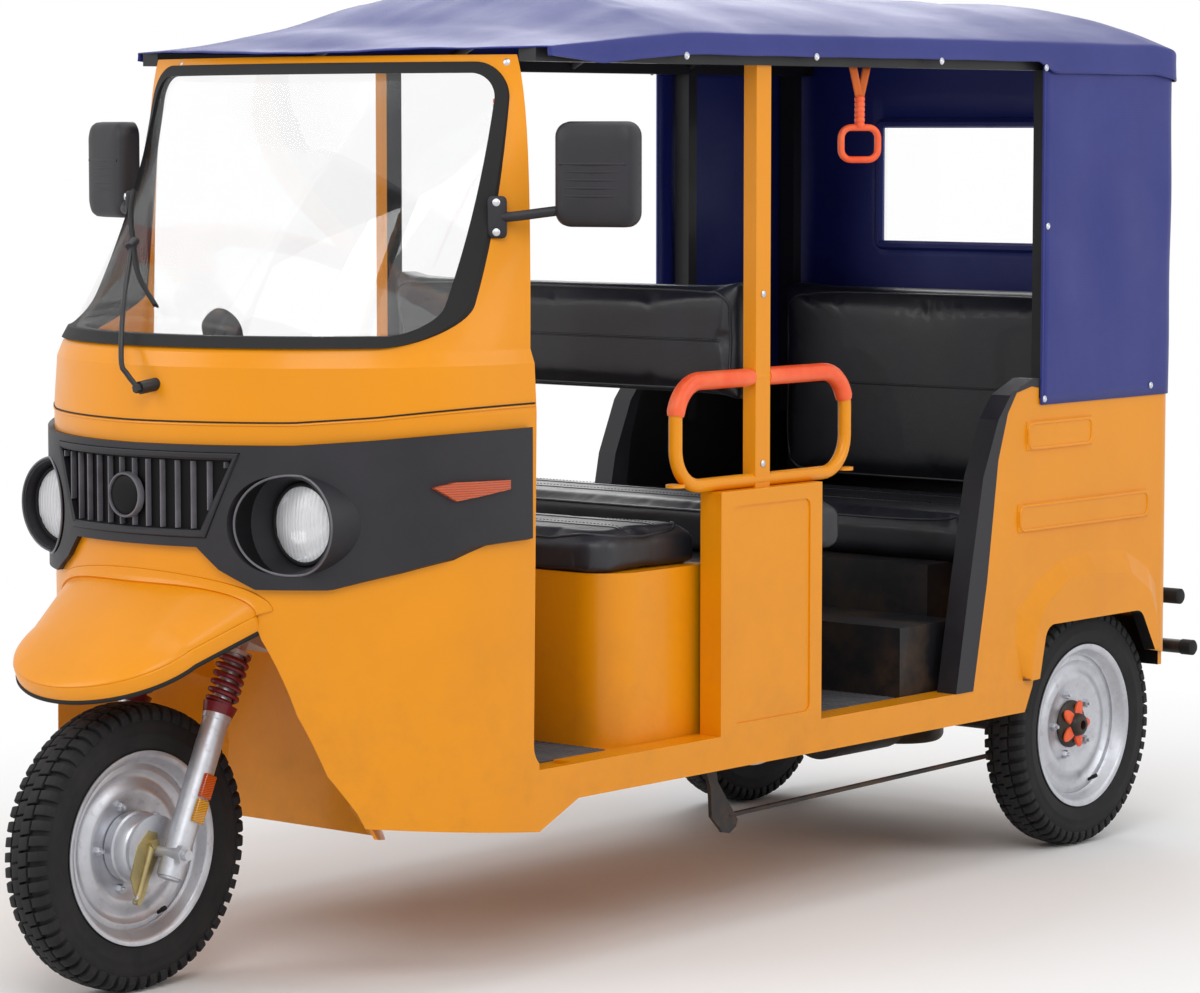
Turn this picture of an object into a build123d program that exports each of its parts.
"""Three-wheeled electric rickshaw with a curved cab, an open middle and a canvas roof.

Units are millimetres. X runs across, +X being the rickshaw's left side, Y runs back and Z is up
from the ground. While a piece is drawn, Y counts from the front axle. The pieces are written with
the origin on the ground under the middle of the whole length.
"""
from build123d import *
import math
import os

# Wheels
TYRE_RADIUS = 255
TYRE_WIDTH = 94
TYRE_BORE = 160
RIM_RADIUS = 172
RIM_WIDTH = 84
RIM_SHEET = 5
WHEELBASE = 2311
REAR_TRACK = 872
HUB_RADIUS = 62
AXLE_RADIUS = 10

# Front end of the body: a half-round shell, seen from above
HALF_WIDTH = 505
SHELL_CENTRE_Y = 525
SHELL_WALL = 18
APRON_FRONT_Z = 320
APRON_BACK_Z = 266
SHOULDER_Z = 1014
SHOULDER_TOP_Z = 1100
SCREEN_BASE_Z = 1125
SCREEN_BASE_INSET = 16
PILLAR_WALL = 26
HEADER_Z = 1640
HEADER_HALF_WIDTH = 489
HEADER_FRONT_Y = 450
HEADER_END_Y = 542
DOOR_FRONT_Y = 510
DOOR_FRONT_TOP_Y = 529
DOOR_CORNER_RADIUS = 45

# Windscreen opening, seen from the front
SCREEN_HALF_WIDTH = 462
SCREEN_TOP_HALF_WIDTH = 446
SCREEN_TOP_Z = 1628
SCREEN_CORNER_RADIUS = 70
GASKET_WIDTH = 20
GASKET_PROUD = 6
GLASS_THICKNESS = 6

# Sills and floor
SILL_TOP_Z = 377
SILL_BOTTOM_Z = 314
SILL_DEPTH = 60
SILL_FRONT_Y = 633
SILL_BACK_Y = WHEELBASE - 281
FLOOR_THICKNESS = 12
MAT_THICKNESS = 6

# Steering, whose axis leans back
RAKE = 23.8
AXIS_BEHIND_AXLE = 50
LEG_BEHIND_AXLE = 17
LEG_SPREAD = 108
LEG_RADIUS = 17
SLIDER_RADIUS = 24
STEM_RADIUS = 14
HEAD_TUBE_RADIUS = 26
STEM_CLEARANCE = 0.3
YOKE_LOW = 395
YOKE_THICKNESS = 24
HANDLEBAR_UP = 905
HANDLEBAR_HALF_LENGTH = 330
HANDLEBAR_RADIUS = 11
HANDLEBAR_BEND_X = 180
HANDLEBAR_BACK = 60

# Wheel well, a bell round the steering axis
WELL_SHEET = 6
WELL_TOP = 455
WELL_BACK_Y = 400
WELL_BACK_LOW_Z = 244

# Front mudguard
GUARD_TILT = 25
GUARD_NOSE_Y = -160
GUARD_NOSE_Z = 528
GUARD_NOSE_RADIUS = 200
GUARD_NOSE_DEPTH = 150
GUARD_HEIGHT = 104
GUARD_ROOT_HALF_WIDTH = 256
GUARD_ROOT_HEIGHT = 112
GUARD_LENGTH = 304
GUARD_SHEET = 6
GUARD_EDGE = 9

# Black nose panel with grille and lamps
FASCIA_PROUD = 12
FASCIA_END_Y = 496
GRILLE_SLATS = 14
LAMP_X = 304
LAMP_Z = 831
LAMP_RADIUS = 73
LAMP_FRONT_Y = 140
POD_RADIUS = 88
POD_FRONT_Y = 118
BUCKET_DEPTH = 90

# Seats
SEAT_SIDE_ROOM = 65
SEAT_HALF_WIDTH = HALF_WIDTH - SEAT_SIDE_ROOM
SEAT_BOX_FRONT_Y = 800
SEAT_BOX_BACK_Y = 1086
PASSENGER_BASE_FRONT_Y = 1100
PASSENGER_BASE_BACK_Y = 1362
PASSENGER_BASE_TOP_Z = 690
SEAT_BOX_TOP_Z = 696
SEAT_BOX_RADIUS = 85
SEAT_BOX_WALL = 12
CUSHION_THICKNESS = 66
CUSHION_FRONT_OVERHANG = 30

# Half walls, posts and hand rails beside the middle partition
HALF_WALL_FRONT_Y = 1043
HALF_WALL_BACK_Y = 1354
HALF_WALL_TOP_Z = 836
HALF_WALL_DEPTH = 50
HALF_WALL_BORDER = 37
POST_FRONT_Y = 1167
POST_BACK_Y = 1211
POST_OUTER_X = 488
POST_INNER_X = 458
RAIL_X = 476
RAIL_RADIUS = 13
RAIL_FRONT_Y = 942
RAIL_BACK_Y = 1462
RAIL_TOP_Z = 1057
RAIL_CORNER_RADIUS = 70

# Rear body
QUARTER_WALL = 12
FLARE_PROUD = 16
FIELD_PROUD = 4
QUARTER_TOP_Z = 957
TAIL_Y = WHEELBASE + 294
TAIL_LOW_Z = 400
PLATE_HOLE_X = 70
PLATE_HOLE_Z = 620
PLATE_HOLE_RADIUS = 3.5
JAMB_DEPTH = 45
BODY_CORNER_RADIUS = 45
BENCH_FRONT_Y = WHEELBASE - 406
BENCH_BACK_Y = WHEELBASE + 119
BENCH_TOP_Z = 620
STEP_TOP_Z = 515
WHEEL_BOX_TOP_Z = 575
BENCH_CUSHION_THICKNESS = 90
BACK_CUSHION_TOP_Z = 1180
WHEEL_BOX_X = REAR_TRACK / 2 - 64

# Roof
RAIL_Z = 1628
ROOF_RAIL_WIDTH = 40
ROOF_RAIL_HEIGHT = 24
CANOPY_HALF_WIDTH = 515
CANOPY_EDGE_Z = 1655
CROWN_Z = 1783
CANOPY_SHEET = 6
CANOPY_FLAP = 40
CANOPY_END_Y = TAIL_Y + 13
CANOPY_CORNER_RADIUS = 56
CURTAIN_SHEET = 3
CURTAIN_FRONT_Y = WHEELBASE - 218
CURTAIN_LOW_Z = 945
CURTAIN_TOP_Z = 1660
CURTAIN_CROWN_DROP = 44
WINDOW_HALF_WIDTH = 280
WINDOW_LOW_Z = 1250
WINDOW_HIGH_Z = 1520
WINDOW_CORNER = 40
CANOPY_BREAK_Y = 930
BOW_RADIUS = 11
BOWS = 5

# Underside
CHASSIS_RAIL_X = REAR_TRACK / 2 - 186
CHASSIS_RAIL_SIZE = 50
AXLE_TUBE_RADIUS = 32
SPRING_X = REAR_TRACK / 2 - 126
SPRING_HALF_LENGTH = 370
CROSS_HEIGHT = 40

# Gap left between curved faces that rest on each other
SEAT_GAP = 0.3

# Beyond the whole vehicle, for cuts that go right through
OUT = TAIL_Y + 395
FLOOR_TOP_Z = SILL_TOP_Z - MAT_THICKNESS
FLOOR_BOTTOM_Z = FLOOR_TOP_Z - FLOOR_THICKNESS
PANEL_WALL = 18
TAIL_INNER_Y = TAIL_Y - PANEL_WALL
SPRING_FRONT_Y = WHEELBASE - SPRING_HALF_LENGTH
# The step stands the same share of the way from the passenger seat to the bench at any length
STEP_FRONT_Y = PASSENGER_BASE_BACK_Y + 0.6225 * (BENCH_FRONT_Y - PASSENGER_BASE_BACK_Y)
RAKE_SIN = math.sin(math.radians(RAKE))
RAKE_COS = math.cos(math.radians(RAKE))
AXIS_Y = AXIS_BEHIND_AXLE * RAKE_COS
AXIS_Z = TYRE_RADIUS - AXIS_BEHIND_AXLE * RAKE_SIN
# Local X is across, local Y points forward at right angles to the steering axis, Z is along it
STEERING = Plane(
    origin=(0, AXIS_Y, AXIS_Z), x_dir=(-1, 0, 0), z_dir=(0, RAKE_SIN, RAKE_COS)
)
LEG_FORWARD = AXIS_BEHIND_AXLE - LEG_BEHIND_AXLE
SLIDER_TOP = 210
BRAKE_PLATE_X = 69

nodes = {}


def keep(node, *pieces):
    """Keeps the solids of one sub-part until all are drawn."""
    nodes[node] = [solid for piece in pieces for solid in piece.solids()]


def write_all():
    """Moves the origin under the middle of the whole length and writes a file for each node."""
    boxes = [solid.bounding_box() for solids in nodes.values() for solid in solids]
    middle = (min(box.min.Y for box in boxes) + max(box.max.Y for box in boxes)) / 2
    print("front axle at Y", round(-middle, 3))
    os.makedirs("parts", exist_ok=True)
    for node, solids in nodes.items():
        moved = [Pos(0, -middle, 0) * solid for solid in solids]
        shape = moved[0] if len(moved) == 1 else Compound(children=moved)
        export_step(shape, f"parts/{node}.step")


def block(x, y, z):
    """A box from a low and a high value on each axis."""
    size = Box(x[1] - x[0], y[1] - y[0], z[1] - z[0], align=(Align.MIN,) * 3)
    return Pos(x[0], y[0], z[0]) * size


def other_side(shape):
    """The same piece on the other side of the rickshaw."""
    return mirror(shape, Plane.YZ)


def both(shape):
    """A piece and its twin on the other side."""
    return [shape, other_side(shape)]


def outline_prism(points, radius=0):
    """A prism along the whole length whose section is seen from the front."""
    face = make_face(Polyline(*points, close=True))
    if radius:
        face = fillet(face.vertices(), radius)
    return extrude(Plane.XZ.offset(-OUT) * face, 2 * OUT)


def side_prism(points, low_x, high_x):
    """A prism across the body whose section is seen from the side, as (Y, Z) points."""
    face = make_face(Polyline(*points, close=True))
    return extrude(Plane.YZ.offset(low_x) * face, high_x - low_x)


def half_ring(outer, inner, low, high):
    """Half a ring round the shell's centre, on its front side."""
    ring = Cylinder(outer, high - low) - Cylinder(inner, high - low)
    front = Pos(0, -OUT / 2, 0) * Box(2 * OUT, OUT, high - low)
    return Pos(0, SHELL_CENTRE_Y, (low + high) / 2) * (ring & front)


def rod(start, end, radius):
    """A straight round bar between two points."""
    path = Line(start, end)
    return sweep(Plane(origin=start, z_dir=path % 0) * Circle(radius), path)


def bell(extra, back_y):
    """The space round the steered wheel, grown by a sheet thickness."""
    # Radius round the steering axis and height along it
    profile = [(0, -400), (420, -400), (420, 100), (390, 143), (344, 189), (305, 272),
               (279, 378), (276, WELL_TOP), (0, WELL_TOP)]
    grown = [(r + extra if r else 0, s + (extra if s == WELL_TOP else 0)) for r, s in profile]
    face = make_face(Polyline(*grown, close=True))
    turned = STEERING * revolve(Plane.XZ * face, Axis.Z)
    return turned & block((-OUT, OUT), (-OUT, back_y + extra), (-OUT, OUT))


def screen_shell(outset, wall):
    """The leaning shell of the windscreen frame, from the shoulder to the header."""
    base = HALF_WIDTH - SCREEN_BASE_INSET + outset
    crown = HEADER_HALF_WIDTH + outset
    middle = HEADER_FRONT_Y - outset
    low = Plane.XY.offset(SCREEN_BASE_Z) * make_face(
        ThreePointArc((-base, SHELL_CENTRE_Y), (0, SHELL_CENTRE_Y - base), (base, SHELL_CENTRE_Y))
        + Line((base, SHELL_CENTRE_Y), (base - wall, SHELL_CENTRE_Y))
        + ThreePointArc(
            (base - wall, SHELL_CENTRE_Y),
            (0, SHELL_CENTRE_Y - base + wall),
            (wall - base, SHELL_CENTRE_Y),
        )
        + Line((wall - base, SHELL_CENTRE_Y), (-base, SHELL_CENTRE_Y))
    )
    high = Plane.XY.offset(HEADER_Z) * make_face(
        ThreePointArc((-crown, HEADER_END_Y), (0, middle), (crown, HEADER_END_Y))
        + Line((crown, HEADER_END_Y), (crown - wall, HEADER_END_Y))
        + ThreePointArc(
            (crown - wall, HEADER_END_Y), (0, middle + wall), (wall - crown, HEADER_END_Y)
        )
        + Line((wall - crown, HEADER_END_Y), (-crown, HEADER_END_Y))
    )
    return loft([low, high], ruled=True)


def screen_outline(inset):
    """The windscreen's outline as seen from the front, made smaller by an inset."""
    low = SCREEN_BASE_Z + 8 + inset
    high = SCREEN_TOP_Z - inset
    points = [
        (-SCREEN_HALF_WIDTH + inset, low),
        (SCREEN_HALF_WIDTH - inset, low),
        (SCREEN_TOP_HALF_WIDTH - inset, high),
        (-SCREEN_TOP_HALF_WIDTH + inset, high),
    ]
    return outline_prism(points, SCREEN_CORNER_RADIUS - inset)


def lower_wall(inset):
    """The half-round wall from the apron to the foot of the windscreen."""
    outer = HALF_WIDTH - inset
    profile = [
        (outer, 0),
        (outer, SHOULDER_Z),
        (outer - 6, SHOULDER_TOP_Z),
        (outer - SCREEN_BASE_INSET, SCREEN_BASE_Z),
        (outer - SCREEN_BASE_INSET - PILLAR_WALL, SCREEN_BASE_Z),
        (outer - SHELL_WALL, SHOULDER_TOP_Z - 40),
        (outer - SHELL_WALL, 0),
    ]
    face = Plane.XZ * make_face(Polyline(*profile, close=True))
    return Pos(0, SHELL_CENTRE_Y, 0) * Rot(0, 0, 180) * revolve(face, Axis.Z, 180)


def apron_cut():
    """What lies under the apron's sloping lower edge."""
    front = SHELL_CENTRE_Y - HALF_WIDTH
    points = [
        (-OUT, APRON_FRONT_Z),
        (front, APRON_FRONT_Z),
        (SHELL_CENTRE_Y, APRON_BACK_Z),
        (SILL_FRONT_Y, SILL_BOTTOM_Z),
        (OUT, SILL_BOTTOM_Z),
        (OUT, -OUT),
        (-OUT, -OUT),
    ]
    return side_prism(points, -OUT, OUT)


def lamp_bores(radius):
    """Two bores for the headlamps, through the nose."""
    bore = Plane.XZ.offset(-260) * Pos(LAMP_X, LAMP_Z) * Circle(radius)
    return both(extrude(bore, 600))


def lamp_funnels():
    """The two openings in front of the lamps, which widen towards the road."""
    length = 100
    flare = Cone(LAMP_RADIUS + 1, LAMP_RADIUS + 29, length, align=(Align.CENTER,) * 2 + (Align.MIN,))
    return both(Pos(LAMP_X, LAMP_FRONT_Y + 1, LAMP_Z) * Rot(90, 0, 0) * flare)


def cab_shell():
    """Apron, shoulder, pillars and header in one skin, with the screen cut out."""
    corner = block(
        (HALF_WIDTH - SHELL_WALL, HALF_WIDTH), (SHELL_CENTRE_Y, SILL_FRONT_Y), (0, SILL_TOP_Z)
    )
    shell = lower_wall(0) + screen_shell(0, PILLAR_WALL)
    for piece in both(corner):
        shell = shell + piece
    door_face = make_face(
        Polyline(
            (DOOR_FRONT_Y, SILL_TOP_Z),
            (OUT, SILL_TOP_Z),
            (OUT, HEADER_Z + 50),
            (DOOR_FRONT_TOP_Y, HEADER_Z + 50),
            close=True,
        )
    )
    front_corner = door_face.vertices().sort_by(Axis.X)[0]
    door_face = fillet(front_corner, DOOR_CORNER_RADIUS)
    door = extrude(Plane.YZ.offset(-OUT) * door_face, 2 * OUT)
    shell = shell - door - screen_outline(0) - apron_cut() - bell(0, WELL_BACK_Y)
    for bore in lamp_bores(POD_RADIUS + SEAT_GAP):
        shell = shell - bore
    return shell


def wheel_well():
    """The inner wall round the steered wheel, open towards the front and below."""
    wall = bell(WELL_SHEET, WELL_BACK_Y) - bell(0, WELL_BACK_Y)
    inside = Pos(0, SHELL_CENTRE_Y, 0) * Cylinder(HALF_WIDTH - SHELL_WALL - SEAT_GAP, 2 * OUT)
    head_hole = STEERING * Pos(0, 0, WELL_TOP) * Cylinder(HEAD_TUBE_RADIUS, 60)
    front = SHELL_CENTRE_Y - HALF_WIDTH
    below = side_prism(
        [(-OUT, APRON_FRONT_Z), (front, APRON_FRONT_Z), (WELL_BACK_Y, WELL_BACK_LOW_Z),
         (OUT, WELL_BACK_LOW_Z), (OUT, -OUT), (-OUT, -OUT)],
        -OUT, OUT,
    )
    return (wall & inside) - below - head_hole


def guard_section(half_width, height):
    """A thin half ellipse, the mudguard's section, in local X and Y."""
    upper = Pos(0, OUT / 2) * Rectangle(2 * OUT, OUT)
    outer = Ellipse(half_width, height) - Ellipse(half_width - GUARD_SHEET, height - GUARD_SHEET)
    return outer & upper


def guard_whole():
    """The beak-shaped guard: a half-round nose, then a body that widens to the apron."""
    nose_face = guard_section(GUARD_NOSE_RADIUS, GUARD_HEIGHT)
    half = nose_face & (Pos(OUT / 2, 0) * Rectangle(OUT, OUT))
    nose = Rot(0, 0, 180) * revolve(Plane.XZ * half, Axis.Z, 180)
    nose = scale(nose, by=(1, GUARD_NOSE_DEPTH / GUARD_NOSE_RADIUS, 1))
    root_face = guard_section(GUARD_ROOT_HALF_WIDTH, GUARD_ROOT_HEIGHT)
    body = loft(
        [Plane.XZ * nose_face, Plane.XZ.offset(GUARD_NOSE_DEPTH - GUARD_LENGTH) * root_face],
        ruled=True,
    )
    local = Pos(0, GUARD_NOSE_DEPTH, 0) * (nose + body)
    whole = Pos(0, GUARD_NOSE_Y, GUARD_NOSE_Z) * Rot(GUARD_TILT, 0, 0) * local
    skin = Pos(0, SHELL_CENTRE_Y, 0) * Cylinder(HALF_WIDTH + SEAT_GAP, 2 * OUT)
    return whole - skin


def mudguard():
    """The painted guard and, apart from it, the black strip along its lower edge."""
    whole = guard_whole()
    strip = Pos(0, GUARD_NOSE_Y, GUARD_NOSE_Z) * Rot(GUARD_TILT, 0, 0) * block(
        (-OUT, OUT), (-OUT, OUT), (-OUT, GUARD_EDGE)
    )
    return whole - strip, whole & strip


def fascia():
    """The black panel across the nose, with pods round the lamps and a grille opening."""
    # X and Z of the edge on one side, from the middle of the nose outwards
    edge = [(0, 966), (300, 968), (400, 976), (540, 992), (540, 800), (490, 786),
            (470, 764), (427, 745), (352, 719), (250, 719), (190, 752), (150, 790), (0, 790)]
    twin = [(-x, z) for x, z in reversed(edge[1:-1])]
    panel = half_ring(HALF_WIDTH + FASCIA_PROUD, HALF_WIDTH + SEAT_GAP, 700, 1000)
    panel = panel & outline_prism(edge + twin)
    face = Cylinder(HALF_WIDTH + FASCIA_PROUD, 2 * OUT)
    back = LAMP_FRONT_Y + BUCKET_DEPTH
    pod = Plane.XZ.offset(-back) * Pos(LAMP_X, LAMP_Z) * Circle(POD_RADIUS)
    for deep in both(extrude(pod, back)):
        panel = panel + (deep & (Pos(0, SHELL_CENTRE_Y, 0) * face))
    for proud in both(extrude(pod, back - POD_FRONT_Y)):
        panel = panel + proud
    for bore in lamp_bores(LAMP_RADIUS) + lamp_funnels():
        panel = panel - bore
    panel = panel - block((-OUT, OUT), (FASCIA_END_Y, OUT), (0, OUT))
    return panel - grille_prism(0)


def grille_prism(inset):
    """The grille's outline, a trapezium that is wide at the top."""
    points = [(-228 + inset, 955 - inset), (228 - inset, 955 - inset),
              (168 - inset, 806 + inset), (-168 + inset, 806 + inset)]
    return outline_prism(points)


def grille():
    """Upright slats on a curved backing, with a round blank boss in the middle."""
    backing = half_ring(HALF_WIDTH + 4, HALF_WIDTH + SEAT_GAP, 790, 970)
    frame = half_ring(HALF_WIDTH + FASCIA_PROUD + 3, HALF_WIDTH + SEAT_GAP, 790, 970)
    whole = backing + (frame - grille_prism(12))
    spread = 2 * math.degrees(math.asin(216 / HALF_WIDTH))
    for i in range(GRILLE_SLATS):
        angle = spread * ((i + 0.5) / GRILLE_SLATS - 0.5)
        slat = Pos(0, -(HALF_WIDTH + 8), 880) * Box(11, 14, 150)
        whole = whole + Pos(0, SHELL_CENTRE_Y, 0) * Rot(0, 0, angle) * slat
    whole = whole & grille_prism(0.2)
    boss = Plane.XZ.offset(-(SHELL_CENTRE_Y - HALF_WIDTH - 2)) * Pos(0, 874) * Circle(39)
    return whole + extrude(boss, 22)


def headlamps():
    """Lamp buckets, domed in front, in the bores of the nose."""
    radius = LAMP_RADIUS - SEAT_GAP
    # Radius and distance from the bucket's back
    profile = [(0, 0), (radius, 0), (radius, BUCKET_DEPTH), (60, BUCKET_DEPTH + 8),
               (34, BUCKET_DEPTH + 14), (0, BUCKET_DEPTH + 16)]
    lamp = revolve(Plane.XZ * make_face(Polyline(*profile, close=True)), Axis.Z)
    placed = Pos(LAMP_X, LAMP_FRONT_Y + BUCKET_DEPTH, LAMP_Z) * Rot(90, 0, 0) * lamp
    return both(placed)


def indicators():
    """Orange side lamps at the ends of the black panel."""
    ring = half_ring(
        HALF_WIDTH + FASCIA_PROUD + 8, HALF_WIDTH + FASCIA_PROUD + SEAT_GAP, 860, 910
    )
    side = ring & block((430, OUT), (270, 440), (0, OUT))
    wedge = side_prism([(290, 893), (330, 901), (436, 900), (436, 884), (330, 868)], 0, OUT)
    return both(side & wedge)


def windscreen():
    """The bent glass, inside its black gasket."""
    return screen_shell(-4, GLASS_THICKNESS) & screen_outline(GASKET_WIDTH)


def screen_gasket():
    """The rubber section that holds the glass in the shell."""
    ring = screen_shell(GASKET_PROUD, PILLAR_WALL + GASKET_PROUD) & screen_outline(SEAT_GAP)
    return ring - screen_outline(GASKET_WIDTH)


def wiper():
    """The wiper's spindle, arm and blade, parked along the far side of the glass."""
    spindle = rod((54, 34, 1068), (48, -12, 1062), 11)
    elbow = (12, -14, 1108)
    joint = (-161, 180, 1303)
    lower = rod((48, -8, 1063), elbow, 6)
    arm = rod(elbow, joint, 6)
    blade = rod((3, 78, 1202), joint, 7) + rod(joint, (-301, 316, 1397), 7)
    whole = spindle + lower + arm + blade + Pos(*elbow) * Sphere(6) + Pos(*joint) * Sphere(9)
    return whole - Pos(0, SHELL_CENTRE_Y, 0) * Cylinder(HALF_WIDTH - 2, 2 * SHOULDER_TOP_Z)


def dashboard():
    """A shelf under the windscreen, with a raised instrument housing."""
    radius = HALF_WIDTH - SHELL_WALL - SEAT_GAP
    disc = Pos(0, SHELL_CENTRE_Y, 1035) * Cylinder(radius, 50)
    shelf = disc & block((-OUT, OUT), (-OUT, 235), (0, OUT))
    hood = side_prism([(90, 1055), (225, 1055), (225, 1120), (180, 1135), (110, 1085)], -120, 120)
    return shelf + hood


def steering_fork():
    """Two legs, a yoke and the stem of the front fork, with the axle and the brake's back plate."""
    upright = (Align.CENTER, Align.CENTER, Align.MIN)
    low_yoke = Pos(0, LEG_FORWARD / 2, YOKE_LOW + YOKE_THICKNESS / 2) * Box(
        2 * LEG_SPREAD + 56, LEG_FORWARD + 56, YOKE_THICKNESS
    )
    stem = Pos(0, 0, YOKE_LOW) * Cylinder(STEM_RADIUS, HANDLEBAR_UP - YOKE_LOW, align=upright)
    fork = low_yoke + stem
    tube_length = YOKE_LOW - SLIDER_TOP + 45
    for x in (-LEG_SPREAD, LEG_SPREAD):
        tube = Pos(x, LEG_FORWARD, SLIDER_TOP) * Cylinder(LEG_RADIUS, tube_length, align=upright)
        slider = Pos(x, LEG_FORWARD, -40) * Cylinder(SLIDER_RADIUS, SLIDER_TOP + 40, align=upright)
        fork = fork + tube + slider
    fork = STEERING * fork
    axle = Pos(0, 0, TYRE_RADIUS) * Rot(0, 90, 0) * Cylinder(AXLE_RADIUS, 2 * LEG_SPREAD + 72)
    plate = Pos(BRAKE_PLATE_X, 0, TYRE_RADIUS) * Rot(0, 90, 0) * Cylinder(HUB_RADIUS, 6)
    arm = rod((BRAKE_PLATE_X + 6, -9, TYRE_RADIUS + 13), (BRAKE_PLATE_X + 6, -49, 168), 5)
    return fork + axle + plate + arm


def fork_springs():
    """The dark red springs round the upper legs."""
    length = 160
    body = Cylinder(27, length) - Cylinder(LEG_RADIUS + SEAT_GAP, length)
    middle = SLIDER_TOP + SEAT_GAP + length / 2
    return [STEERING * Pos(x, LEG_FORWARD, middle) * body for x in (-LEG_SPREAD, LEG_SPREAD)]


def handlebar():
    """The bar across the top of the stem, its ends bent back, with a clamp and two grips."""
    up = HANDLEBAR_UP + HANDLEBAR_RADIUS + 2
    bar = Pos(0, 0, up) * Rot(0, 90, 0) * Cylinder(HANDLEBAR_RADIUS, 2 * HANDLEBAR_BEND_X)
    for side in (-1, 1):
        bend = (side * HANDLEBAR_BEND_X, 0, up)
        end = (side * HANDLEBAR_HALF_LENGTH, -HANDLEBAR_BACK, up)
        bar = bar + Pos(*bend) * Sphere(HANDLEBAR_RADIUS) + rod(bend, end, HANDLEBAR_RADIUS)
    clamp = Pos(0, 0, HANDLEBAR_UP + 14) * Box(60, 36, 28)
    return STEERING * (bar + clamp)


def wheel_rim(hub_half, outer_sign):
    """A pressed steel wheel: rim well, dished disc and hub, turned round its axle."""
    half = RIM_WIDTH / 2
    bead = TYRE_BORE - 6
    well = TYRE_BORE - 14
    # Distance along the axle and radius
    profile = [(-half, RIM_RADIUS), (-half, bead), (-18, well), (18, well), (half, bead),
               (half, RIM_RADIUS), (half - RIM_SHEET, RIM_RADIUS), (half - RIM_SHEET, bead + RIM_SHEET),
               (18, well + RIM_SHEET), (-18, well + RIM_SHEET), (-half + RIM_SHEET, bead + RIM_SHEET),
               (-half + RIM_SHEET, RIM_RADIUS)]
    rim = revolve(Plane.XY * make_face(Polyline(*profile, close=True)), Axis.X)
    disc_profile = [(4, AXLE_RADIUS + 1), (4, 90), (14, 110), (8, 147), (0, 147), (6, 108),
                    (-4, 90), (-4, AXLE_RADIUS + 1)]
    disc = revolve(Plane.XY * make_face(Polyline(*disc_profile, close=True)), Axis.X)
    hub = Cylinder(HUB_RADIUS, 2 * hub_half) - Cylinder(AXLE_RADIUS + 1, 2 * hub_half)
    whole = rim + disc + Rot(0, 90, 0) * hub
    return whole if outer_sign > 0 else mirror(whole, Plane.YZ)


def tyre():
    """A tyre: beads in the rim, full side walls, round shoulders and a crowned tread."""
    half = TYRE_WIDTH / 2
    bead = RIM_WIDTH / 2 - RIM_SHEET - SEAT_GAP
    # Distance along the axle and radius, on one side
    side = [(bead, TYRE_BORE), (bead, RIM_RADIUS + 1), (half, 205), (half, 228), (36, 250)]
    twin = [(-x, r) for x, r in reversed(side)]
    face = make_face(Polyline(*side, (0, TYRE_RADIUS), *twin, close=True))
    return revolve(Plane.XY * face, Axis.X)


def sills():
    """Box sections under the door openings, from the cab to the rear body."""
    sill = block(
        (HALF_WIDTH - SILL_DEPTH, HALF_WIDTH), (SILL_FRONT_Y, SILL_BACK_Y), (SILL_BOTTOM_Z, SILL_TOP_Z)
    )
    return both(sill)


def floor_pan():
    """The floor plate between the sills, cut round the wheel well."""
    z = (FLOOR_BOTTOM_Z, FLOOR_TOP_Z)
    side = HALF_WIDTH - SILL_DEPTH - SEAT_GAP
    inner = HALF_WIDTH - SHELL_WALL - SEAT_GAP
    plate = block((-side, side), (SILL_FRONT_Y - 1, TAIL_INNER_Y - SEAT_GAP), z)
    disc = Pos(0, SHELL_CENTRE_Y, sum(z) / 2) * Cylinder(inner, FLOOR_THICKNESS)
    front = disc & block((-OUT, OUT), (-OUT, SHELL_CENTRE_Y), (0, OUT))
    middle = block((-inner, inner), (SHELL_CENTRE_Y, SILL_FRONT_Y - SEAT_GAP), z)
    pan = plate + front + middle
    for box in both(block((WHEEL_BOX_X - QUARTER_WALL - SEAT_GAP, OUT), (SILL_BACK_Y, OUT), (0, OUT))):
        pan = pan - box
    return pan - bell(WELL_SHEET + SEAT_GAP, WELL_BACK_Y)


def floor_mats():
    """Ribbed mats on the driver's and the passengers' floor."""
    z = (FLOOR_TOP_Z, SILL_TOP_Z)
    front = block((-430, 430), (455, SEAT_BOX_FRONT_Y - 2), z)
    rear = block((-430, 430), (PASSENGER_BASE_BACK_Y + 10, STEP_FRONT_Y - 2), z)
    return [front, rear]


def rounded_box(half_width, y, z, radius):
    """A box whose two front upright corners are rounded."""
    face = make_face(
        Polyline((-half_width, y[0]), (half_width, y[0]), (half_width, y[1]), (-half_width, y[1]),
                 close=True)
    )
    face = fillet(face.vertices().sort_by(Axis.Y)[:2], radius)
    return extrude(Plane.XY.offset(z[0]) * face, z[1] - z[0])


def seat_box():
    """The driver's seat box, hollow and open below, where the batteries stand."""
    z = (FLOOR_TOP_Z, SEAT_BOX_TOP_Z)
    y = (SEAT_BOX_FRONT_Y, SEAT_BOX_BACK_Y)
    outer = rounded_box(SEAT_HALF_WIDTH, y, z, SEAT_BOX_RADIUS)
    wall = SEAT_BOX_WALL
    inner = rounded_box(
        SEAT_HALF_WIDTH - wall, (y[0] + wall, y[1] - wall), (z[0] - 1, z[1] - wall),
        SEAT_BOX_RADIUS - wall,
    )
    return outer - inner


def battery_block():
    """The traction batteries as one plain block."""
    y = (SEAT_BOX_FRONT_Y + 50, SEAT_BOX_BACK_Y - 36)
    return block((-330, 330), y, (FLOOR_TOP_Z, FLOOR_TOP_Z + 230))


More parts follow.
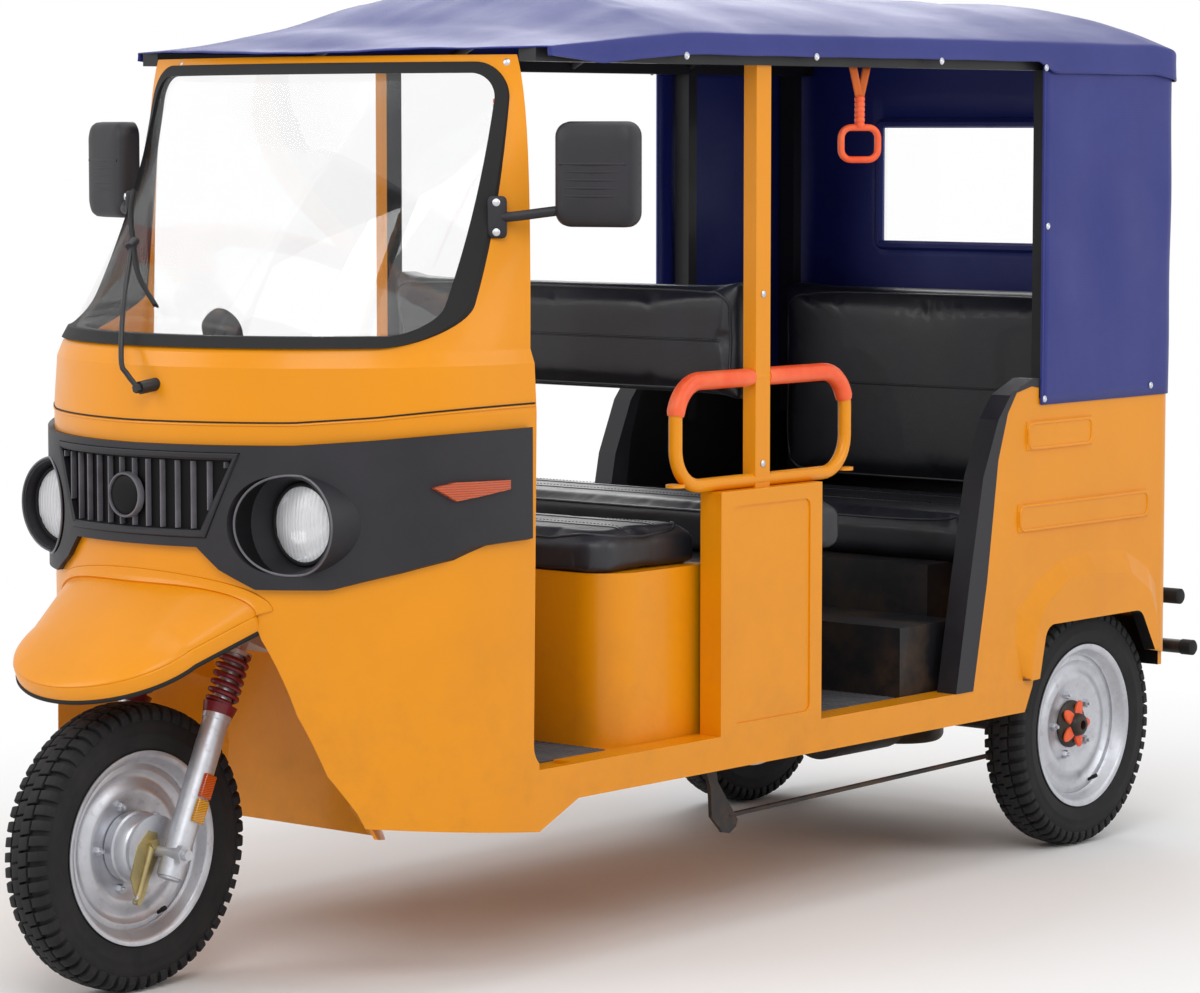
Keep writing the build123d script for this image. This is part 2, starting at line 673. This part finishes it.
def driver_cushion():
    """The bench cushion on the seat box."""
    y = (SEAT_BOX_FRONT_Y - CUSHION_FRONT_OVERHANG, SEAT_BOX_BACK_Y)
    z = (SEAT_BOX_TOP_Z, SEAT_BOX_TOP_Z + CUSHION_THICKNESS)
    return fillet(rounded_box(SEAT_HALF_WIDTH, y, z, 60).faces().sort_by(Axis.Z)[-1].edges(), 16)


def passenger_base():
    """The box under the rear-facing seat, open below."""
    wall = SEAT_BOX_WALL
    side = 430
    y = (PASSENGER_BASE_FRONT_Y, PASSENGER_BASE_BACK_Y)
    outer = block((-side, side), y, (FLOOR_TOP_Z, PASSENGER_BASE_TOP_Z))
    inner = block(
        (wall - side, side - wall), (y[0] + wall, y[1] - wall), (0, PASSENGER_BASE_TOP_Z - wall)
    )
    return outer - inner


def passenger_cushion():
    """The cushion of the rear-facing seat, which hangs over its base."""
    low = PASSENGER_BASE_TOP_Z
    pad = block((-SEAT_HALF_WIDTH, SEAT_HALF_WIDTH), (1242, 1539), (low, low + 86))
    return fillet(pad.edges().filter_by(Axis.X).sort_by(Axis.Y)[-2:], 22)


def backrest_pad():
    """The padded partition between the middle posts."""
    inner = POST_INNER_X - SEAT_GAP
    pad = block((-inner, inner), (1165, 1240), (985, 1235))
    return fillet(pad.edges().filter_by(Axis.X), 18)


def half_walls():
    """Panels beside the partition, with a pressed border on the outer face."""
    wall = block(
        (HALF_WIDTH - HALF_WALL_DEPTH, HALF_WIDTH),
        (HALF_WALL_FRONT_Y, HALF_WALL_BACK_Y),
        (SILL_TOP_Z, HALF_WALL_TOP_Z),
    )
    field = block(
        (HALF_WIDTH - 3, HALF_WIDTH + 1),
        (HALF_WALL_FRONT_Y + HALF_WALL_BORDER, HALF_WALL_BACK_Y - HALF_WALL_BORDER),
        (SILL_TOP_Z + 20, HALF_WALL_TOP_Z - 29),
    )
    return both(wall - fillet(field.edges().filter_by(Axis.X), 16))


def centre_posts():
    """Posts up to the roof rails, with a bent hand rail welded to their front and back."""
    post = block(
        (POST_INNER_X, POST_OUTER_X), (POST_FRONT_Y, POST_BACK_Y), (HALF_WALL_TOP_Z, RAIL_Z)
    )
    low, top = HALF_WALL_TOP_Z + RAIL_RADIUS + SEAT_GAP, RAIL_TOP_Z - RAIL_RADIUS
    face = make_face(
        Polyline((RAIL_FRONT_Y, low), (RAIL_FRONT_Y, top), (RAIL_BACK_Y, top), (RAIL_BACK_Y, low),
                 close=True)
    )
    face = fillet(face.vertices(), RAIL_CORNER_RADIUS)
    path = (Plane.YZ.offset(RAIL_X) * face).wire()
    start = Plane(origin=path @ 0, z_dir=path % 0)
    loop = sweep(start * Circle(RAIL_RADIUS), path)
    return both(post + loop)


def rear_shape(points, low_x, high_x, radius=0):
    """A prism across the body from points whose Y counts from the rear axle."""
    face = make_face(Polyline(*[(WHEELBASE + y, z) for y, z in points], close=True))
    if radius:
        face = fillet(face.vertices().sort_by(Axis.Y)[-2:], radius)
    return extrude(Plane.YZ.offset(low_x) * face, high_x - low_x)


def rear_ring(outset, wall, radius, front, z):
    """A wall round the rear body with rounded corners, open towards the front."""
    rings = []
    for grown in (outset, outset - wall):
        side = HALF_WIDTH + grown
        back = TAIL_Y + grown
        face = make_face(Polyline((-side, front), (side, front), (side, back), (-side, back), close=True))
        face = fillet(face.vertices().sort_by(Axis.Y)[-2:], radius + grown)
        rings.append(extrude(Plane.XY.offset(z[0]) * face, z[1] - z[0]))
    return rings[0] - rings[1]


# Door edge of the rear side panel: Y from the rear axle, and Z
DOOR_EDGE = [(-450, SILL_TOP_Z), (-404, 597), (-368, 840), (-335, 934), (-304, 974), (-250, 985),
             (-222, 981), (-222, QUARTER_TOP_Z)]


def quarter_outline():
    """The rear side panel as seen from the side, Y from the rear axle."""
    return DOOR_EDGE + [(OUT, QUARTER_TOP_Z), (OUT, SILL_BOTTOM_Z), (-281, SILL_BOTTOM_Z),
                        (-281, SILL_TOP_Z)]


def arch_cut():
    """The wheel arch opening, flat at the top, as a prism across the body."""
    outline = [(-263, 0), (-263, 312), (-235, 365), (-205, 490), (152, 490), (208, 398), (276, 386),
               (OUT, 386), (OUT, 0)]
    face = make_face(Polyline(*[(WHEELBASE + y, z) for y, z in outline], close=True))
    crowns = [v for v in face.vertices() if abs(v.Y - 490) < 1]
    return extrude(Plane.YZ * fillet(crowns, 34), OUT)


def arch_flare():
    """The pressed swelling round the wheel arch, which slopes out to a raised field."""
    # Y from the rear axle and Z, from the door side over the wheel to the tail
    foot = [(-270, 380), (-300, 460), (-296, 524), (-231, 579), (-140, 620), (-41, 633), (112, 621),
            (197, 579), (231, 540), (250, 400)]
    crest = [(-262, 380), (-256, 430), (-241, 484), (-200, 539), (-127, 578), (-15, 583), (113, 571),
             (185, 530), (212, 477), (222, 400)]
    faces = []
    for x, points in ((HALF_WIDTH - 1, foot), (HALF_WIDTH + FLARE_PROUD, crest)):
        closed = [(WHEELBASE + y, z) for y, z in points]
        faces.append(Plane.YZ.offset(x) * make_face(Polyline(*closed, close=True)))
    return loft(faces, ruled=True)


def rear_quarters():
    """Rear side panels round the tail's corners, with arch, pressed fields and door jamb."""
    wall = rear_ring(0, QUARTER_WALL, BODY_CORNER_RADIUS, SILL_BACK_Y - 400, (0, OUT))
    side = block((HALF_WIDTH - JAMB_DEPTH, OUT), (0, OUT), (0, OUT))
    skin = rear_shape(quarter_outline(), 0, OUT) & wall & side
    inner_edge = [(y + 20, z) for y, z in reversed(DOOR_EDGE[:5])]
    jamb = rear_shape(DOOR_EDGE[:5] + inner_edge, HALF_WIDTH - JAMB_DEPTH, HALF_WIDTH - QUARTER_WALL)
    proud = (HALF_WIDTH - 1, HALF_WIDTH + FIELD_PROUD)
    wide = rear_shape([(-294, 686), (193, 686), (193, 744), (-294, 744)], *proud)
    high = rear_shape([(-266, 853), (-26, 853), (-26, 913), (-266, 913)], *proud)
    whole = skin + jamb + arch_flare() + chamfer(wide.faces().sort_by(Axis.X)[-1].edges(), 3)
    whole = whole + chamfer(high.faces().sort_by(Axis.X)[-1].edges(), 3)
    return both(whole - arch_cut() + wheel_box())


def quarter_trims():
    """Black edge mouldings on the door side of the rear panels."""
    # Y from the rear axle, and Z
    outer = [(-510, SILL_TOP_Z), (-465, 603), (-421, 808), (-369, 922), (-327, 970), (-250, 1000),
             (-222, 1000)]
    inner = [(-222, 981)] + list(reversed(DOOR_EDGE[:6]))
    return both(rear_shape(outer + inner, HALF_WIDTH - JAMB_DEPTH, HALF_WIDTH + 2))


def wheel_box():
    """The inner box over a rear wheel, welded to the side panel."""
    x = (WHEEL_BOX_X - QUARTER_WALL, HALF_WIDTH - QUARTER_WALL)
    outer = block(x, (SILL_BACK_Y + SEAT_GAP, TAIL_INNER_Y - SEAT_GAP), (FLOOR_BOTTOM_Z, WHEEL_BOX_TOP_Z))
    inner = block(
        (WHEEL_BOX_X, HALF_WIDTH), (SILL_BACK_Y + 12, TAIL_Y - 32), (0, WHEEL_BOX_TOP_Z - QUARTER_WALL)
    )
    return outer - inner


def rear_panel():
    """The tail panel, with two holes for a number plate."""
    inner = HALF_WIDTH - JAMB_DEPTH - SEAT_GAP
    panel = block((-inner, inner), (TAIL_INNER_Y, TAIL_Y), (TAIL_LOW_Z, QUARTER_TOP_Z))
    for x in (-PLATE_HOLE_X, PLATE_HOLE_X):
        panel = panel - Pos(x, TAIL_Y, PLATE_HOLE_Z) * Rot(90, 0, 0) * Cylinder(PLATE_HOLE_RADIUS, 60)
    return panel


def tail_lamps():
    """Two upright lamps on the tail panel."""
    lamp = block((370, 450), (TAIL_Y, TAIL_Y + 26), (600, 800))
    return both(fillet(lamp.edges().filter_by(Axis.Y), 14))


def rear_bumper():
    """Two cross tubes behind the tail on brackets from the frame."""
    # Y behind the tail, Z and half length of each tube
    tubes = [(50, 500, 430), (110, 382, 470)]
    pieces = [rod((-x, TAIL_Y + y, z), (x, TAIL_Y + y, z), 15) for y, z, x in tubes]
    whole = pieces[0] + pieces[1]
    outline = [(0, 402), (95, 365), (115, 370), (115, 400), (55, 515), (40, 515), (0, 515)]
    side = [(TAIL_Y + y, z) for y, z in outline]
    for x in (-CHASSIS_RAIL_X, CHASSIS_RAIL_X):
        whole = whole + side_prism(side, x - 5, x + 5)
    return whole


def bench_base():
    """The hollow base of the rear bench, open below."""
    wall = SEAT_BOX_WALL
    side = WHEEL_BOX_X - QUARTER_WALL - SEAT_GAP
    y = (BENCH_FRONT_Y, TAIL_Y - 45)
    base = block((-side, side), y, (FLOOR_TOP_Z, BENCH_TOP_Z))
    hollow = block((wall - side, side - wall), (y[0] + wall, y[1] - wall), (0, BENCH_TOP_Z - wall))
    return base - hollow


def bench_step():
    """The hollow step in front of the rear bench, open below."""
    wall = SEAT_BOX_WALL
    side = 440
    y = (STEP_FRONT_Y, BENCH_FRONT_Y - SEAT_GAP)
    step = block((-side, side), y, (FLOOR_TOP_Z, STEP_TOP_Z))
    hollow = block((wall - side, side - wall), (y[0] + wall, y[1] - wall), (0, STEP_TOP_Z - wall))
    return step - hollow


def bench_cushion():
    """The rear bench's cushion."""
    z = (BENCH_TOP_Z, BENCH_TOP_Z + BENCH_CUSHION_THICKNESS)
    pad = block((-SEAT_HALF_WIDTH, SEAT_HALF_WIDTH), (BENCH_FRONT_Y + 40, BENCH_BACK_Y), z)
    return fillet(pad.edges().filter_by(Axis.X).sort_by(Axis.Y)[:2], 26)


def bench_back():
    """The rear bench's back cushion, against the tail."""
    low = BENCH_TOP_Z + BENCH_CUSHION_THICKNESS + 2
    pad = block(
        (-SEAT_HALF_WIDTH, SEAT_HALF_WIDTH), (BENCH_BACK_Y + 1, TAIL_Y - 60), (low, BACK_CUSHION_TOP_Z)
    )
    return fillet(pad.edges().filter_by(Axis.X).sort_by(Axis.Z)[-2:], 26)


def bench_back_board():
    """The board that carries the rear bench's back."""
    return block((-450, 450), (TAIL_Y - 60, TAIL_Y - 50), (BENCH_TOP_Z, BACK_CUSHION_TOP_Z - 30))


def roof_frame():
    """Side rails and arched bows under the canvas, with corner posts at the rear."""
    outer = HALF_WIDTH - 10
    inner = outer - ROOF_RAIL_WIDTH
    y = (DOOR_FRONT_TOP_Y + SEAT_GAP, TAIL_INNER_Y - SEAT_GAP)
    pieces = both(block((inner, outer), y, (RAIL_Z, RAIL_Z + ROOF_RAIL_HEIGHT)))
    for back in (WHEELBASE - 176, TAIL_Y - 90):
        side = (inner, HALF_WIDTH - QUARTER_WALL - SEAT_GAP)
        pieces.extend(both(block(side, (back, back + 28), (QUARTER_TOP_Z - 90, RAIL_Z))))
    low = RAIL_Z + ROOF_RAIL_HEIGHT / 2
    crown = CROWN_Z - CANOPY_SHEET - BOW_RADIUS - 0.8
    first, last = CANOPY_BREAK_Y + 16, TAIL_Y - 62
    for i in range(BOWS):
        y = first + (last - first) * i / (BOWS - 1)
        arc = ThreePointArc((12 + inner, low), (0, crown), (-12 - inner, low))
        path = Plane.XZ.offset(-y) * arc
        start = Plane(origin=path @ 0, z_dir=path % 0)
        pieces.append(sweep(start * Circle(BOW_RADIUS), path))
    whole = pieces[0]
    for piece in pieces[1:]:
        whole = whole + piece
    return whole


def canopy_block(inset, low):
    """The space under the canvas, from the header to the tail, smaller by an inset."""
    # Y of each section, the lower edge of its flaps and its crown
    table = [(HEADER_FRONT_Y - 16, 1605, HEADER_Z + CANOPY_SHEET + 1), (690, 1626, 1706),
             (CANOPY_BREAK_Y, CANOPY_EDGE_Z - 10, CROWN_Z), (CANOPY_END_Y - 60, CANOPY_EDGE_Z - 10, CROWN_Z),
             (CANOPY_END_Y, CANOPY_EDGE_Z - 14, CROWN_Z - 24)]
    side = CANOPY_HALF_WIDTH - inset
    sections = []
    for y, edge, crown in table:
        eave = edge + CANOPY_FLAP
        top = crown - inset
        outline = (
            Line((-side, edge - low), (-side, eave))
            + ThreePointArc((-side, eave), (0, top), (side, eave))
            + Line((side, eave), (side, edge - low))
            + Line((side, edge - low), (-side, edge - low))
        )
        sections.append(Plane.XZ.offset(-y) * make_face(outline))
    return loft(sections, ruled=True)


def canopy_plan(inset):
    """The roof's plan as a prism, its rear corners rounded and its front edge bowed."""
    side = CANOPY_HALF_WIDTH - inset
    back = CANOPY_END_Y - inset
    face = make_face(Polyline((-side, 0), (side, 0), (side, back), (-side, back), close=True))
    face = fillet(face.vertices().sort_by(Axis.Y)[-2:], CANOPY_CORNER_RADIUS - inset)
    return extrude(face, OUT)


def canopy():
    """The canvas roof: one sheet over the bows, down to the header and over the rear corners."""
    outer = canopy_block(0, 0) & canopy_plan(0)
    inner = canopy_block(CANOPY_SHEET, 50) & canopy_plan(CANOPY_SHEET)
    rise = HEADER_END_Y - HEADER_FRONT_Y
    radius = (HEADER_HALF_WIDTH**2 + rise**2) / (2 * rise)
    nose = Pos(0, HEADER_FRONT_Y + radius, 0) * Cylinder(radius + 14, 2 * OUT)
    ahead = block((-OUT, OUT), (-OUT, CANOPY_BREAK_Y - 100), (0, OUT)) - nose
    return outer - inner - ahead


def curtains():
    """The canvas walls round the rear bench, snapped on outside the body, with a window."""
    gap = SEAT_GAP + CURTAIN_SHEET
    wall = rear_ring(gap, CURTAIN_SHEET, BODY_CORNER_RADIUS, CURTAIN_FRONT_Y, (CURTAIN_LOW_Z, OUT))
    side = HALF_WIDTH + 20
    crown = CROWN_Z - CANOPY_SHEET - CURTAIN_CROWN_DROP
    top = make_face(
        Line((-side, 0), (side, 0))
        + Line((side, 0), (side, CURTAIN_TOP_Z))
        + ThreePointArc((side, CURTAIN_TOP_Z), (0, crown), (-side, CURTAIN_TOP_Z))
        + Line((-side, CURTAIN_TOP_Z), (-side, 0))
    )
    wall = wall & extrude(Plane.XZ.offset(-OUT) * top, OUT)
    return wall - window_block(SEAT_GAP, 40)


def window_block(grown, depth):
    """The rear window's outline through the rear curtain."""
    middle = TAIL_Y + SEAT_GAP + CURTAIN_SHEET / 2
    x = WINDOW_HALF_WIDTH + grown
    z = (WINDOW_LOW_Z - grown, WINDOW_HIGH_Z + grown)
    pane = block((-x, x), (middle - depth / 2, middle + depth / 2), z)
    return fillet(pane.edges().filter_by(Axis.Y), WINDOW_CORNER)


def rear_window():
    """A clear pane in the rear curtain."""
    return window_block(0, 2)


def mirrors():
    """Door mirrors on bent arms from plates on the pillars."""
    plate = block((440, 486), (436, 490), (1318, 1393)) & screen_shell(SEAT_GAP + 6, 6)
    arm = rod((462, 462, 1356), (552, 544, 1366), 9)
    whole = plate + arm - screen_shell(SEAT_GAP, 60)
    whole = whole - (screen_shell(GASKET_PROUD + SEAT_GAP, 60) & screen_outline(0))
    housing = fillet(Box(152, 46, 184).edges().filter_by(Axis.Y), 24)
    housing = chamfer(housing.faces().sort_by(Axis.Y)[0].edges(), 8)
    return both(whole + Pos(612, 556, 1431) * Rot(0, 0, 18) * housing)


def hand_straps():
    """Straps with grab rings, hung from the roof rails."""
    strap = block((468, 472), (1507, 1527), (1520, RAIL_Z))
    ring = Pos(470, 1517, 1482) * Rot(0, 90, 0) * Torus(33, 6)
    return both(strap + ring)


def chassis_frame():
    """Two long rails under the floor."""
    z = (FLOOR_BOTTOM_Z - CHASSIS_RAIL_SIZE, FLOOR_BOTTOM_Z)
    half = CHASSIS_RAIL_SIZE / 2
    y = (WELL_BACK_Y + 30, TAIL_INNER_Y - SEAT_GAP)
    return [block((x - half, x + half), y, z) for x in (-CHASSIS_RAIL_X, CHASSIS_RAIL_X)]


def cross_members():
    """Cross members under the floor, each in three lengths between and beside the rails."""
    z = (FLOOR_BOTTOM_Z - CROSS_HEIGHT, FLOOR_BOTTOM_Z)
    inner = CHASSIS_RAIL_X - CHASSIS_RAIL_SIZE / 2
    outer = CHASSIS_RAIL_X + CHASSIS_RAIL_SIZE / 2
    # Y of each cross member and its half width
    table = [(450, 440), (1050, 440), (STEP_FRONT_Y, 440), (SPRING_FRONT_Y, WHEEL_BOX_X - 30),
             (TAIL_Y - 65, WHEEL_BOX_X - 30)]
    pieces = []
    for y, half in table:
        pieces.append(block((-inner, inner), (y, y + 40), z))
        pieces.extend(both(block((outer, half), (y, y + 40), z)))
    return pieces


def head_tube():
    """The bearing tube of the steering stem, on a web that stands on the floor."""
    back = WELL_BACK_Y + WELL_SHEET + SEAT_GAP
    web = side_prism([(244, 683), (back, 606), (back, FLOOR_TOP_Z), (back + 44, FLOOR_TOP_Z),
                      (back + 44, 612), (286, 779)], -22, 22)
    body = STEERING * Pos(0, 0, WELL_TOP + 65) * Cylinder(HEAD_TUBE_RADIUS - SEAT_GAP, 150)
    bore = STEERING * Pos(0, 0, WELL_TOP) * Cylinder(STEM_RADIUS + STEM_CLEARANCE, 600)
    return body + web - bore


def rear_axle():
    """The axle tube with its drive case and motor."""
    half = REAR_TRACK / 2 - 62
    middle = Pos(0, WHEELBASE, TYRE_RADIUS)
    tube_part = middle * Rot(0, 90, 0) * Cylinder(AXLE_TUBE_RADIUS, 2 * half)
    stubs = middle * Rot(0, 90, 0) * Cylinder(AXLE_RADIUS, REAR_TRACK + 40)
    case = fillet(Cylinder(95, 150).edges(), 18)
    motor = Pos(0, -190, 0) * Rot(90, 0, 0) * Cylinder(85, 220)
    return tube_part + stubs + middle * (case + motor)


def leaf_springs():
    """Leaf packs over the axle on both sides."""
    top = TYRE_RADIUS + AXLE_TUBE_RADIUS + SEAT_GAP
    # Y of both ends from the rear axle and height above the axle tube
    leaves = [(-SPRING_HALF_LENGTH, 269, 12, 20), (-220, 220, 4, 12), (-110, 110, 0, 4)]
    shackles = [(-SPRING_HALF_LENGTH + 5, -SPRING_HALF_LENGTH + 35), (234, 264)]
    springs = []
    for x in (-SPRING_X, SPRING_X):
        pack = None
        for front, back, low, high in leaves:
            leaf = block((x - 25, x + 25), (WHEELBASE + front, WHEELBASE + back), (top + low, top + high))
            pack = leaf if pack is None else pack + leaf
        for front, back in shackles:
            z = (top + 20, FLOOR_BOTTOM_Z - CROSS_HEIGHT)
            pack = pack + block((x - 12, x + 12), (WHEELBASE + front, WHEELBASE + back), z)
        springs.append(pack)
    return springs


def brake_linkages():
    """Relay levers under the floor with rods to the rear brakes."""
    x = HALF_WIDTH - 96
    brake_x = REAR_TRACK / 2 - 27
    # Y and Z of the lever's outline
    outline = [(1100, 330), (1140, 330), (1150, 270), (1212, 190), (1206, 176), (1186, 166), (1166, 170),
               (1132, 204), (1128, 260)]
    lever = side_prism(outline, x - 4, x + 4)
    pull = rod((x, 1187, 200), (brake_x, WHEELBASE - 261, 213), 5)
    hanger = block((x - 14, x + 4), (1095, 1145), (318, FLOOR_BOTTOM_Z))
    return both(lever + pull + hanger)


def main():
    guard, guard_edge = mudguard()
    keep("cab_shell", cab_shell())
    keep("wheel_well", wheel_well())
    keep("front_mudguard", guard)
    keep("mudguard_edge", guard_edge)
    keep("nose_panel", fascia())
    keep("grille", grille())
    keep("headlamps", *headlamps())
    keep("side_indicators", *indicators())
    keep("windscreen", windscreen())
    keep("screen_gasket", screen_gasket())
    keep("wiper", wiper())
    keep("dashboard", dashboard())
    keep("sills", *sills())
    keep("floor_pan", floor_pan())
    keep("floor_mats", *floor_mats())
    keep("seat_box", seat_box())
    keep("battery_block", battery_block())
    keep("driver_cushion", driver_cushion())
    keep("passenger_base", passenger_base())
    keep("passenger_cushion", passenger_cushion())
    keep("backrest_pad", backrest_pad())
    keep("half_walls", *half_walls())
    keep("centre_posts", *centre_posts())
    keep("rear_quarters", *rear_quarters())
    keep("quarter_trims", *quarter_trims())
    keep("rear_panel", rear_panel())
    keep("tail_lamps", *tail_lamps())
    keep("rear_bumper", rear_bumper())
    keep("bench_base", bench_base())
    keep("bench_step", bench_step())
    keep("bench_board", bench_back_board())
    keep("bench_cushion", bench_cushion())
    keep("bench_back", bench_back())
    keep("roof_frame", roof_frame())
    keep("canopy", canopy())
    keep("curtains", curtains())
    keep("rear_window", rear_window())
    keep("mirrors", *mirrors())
    keep("hand_straps", *hand_straps())
    keep("chassis_frame", *chassis_frame())
    keep("cross_members", *cross_members())
    keep("head_tube", head_tube())
    keep("rear_axle", rear_axle())
    keep("leaf_springs", *leaf_springs())
    keep("brake_linkages", *brake_linkages())
    keep("steering_fork", steering_fork())
    keep("fork_springs", *fork_springs())
    keep("handlebar", handlebar())
    keep("front_rim", Pos(0, 0, TYRE_RADIUS) * wheel_rim(60, 1))
    keep("front_tyre", Pos(0, 0, TYRE_RADIUS) * tyre())
    for side, name in ((1, "left"), (-1, "right")):
        place = Pos(side * REAR_TRACK / 2, WHEELBASE, TYRE_RADIUS)
        keep(f"rear_rim_{name}", place * wheel_rim(40, side))
        keep(f"rear_tyre_{name}", place * tyre())
    write_all()


main()
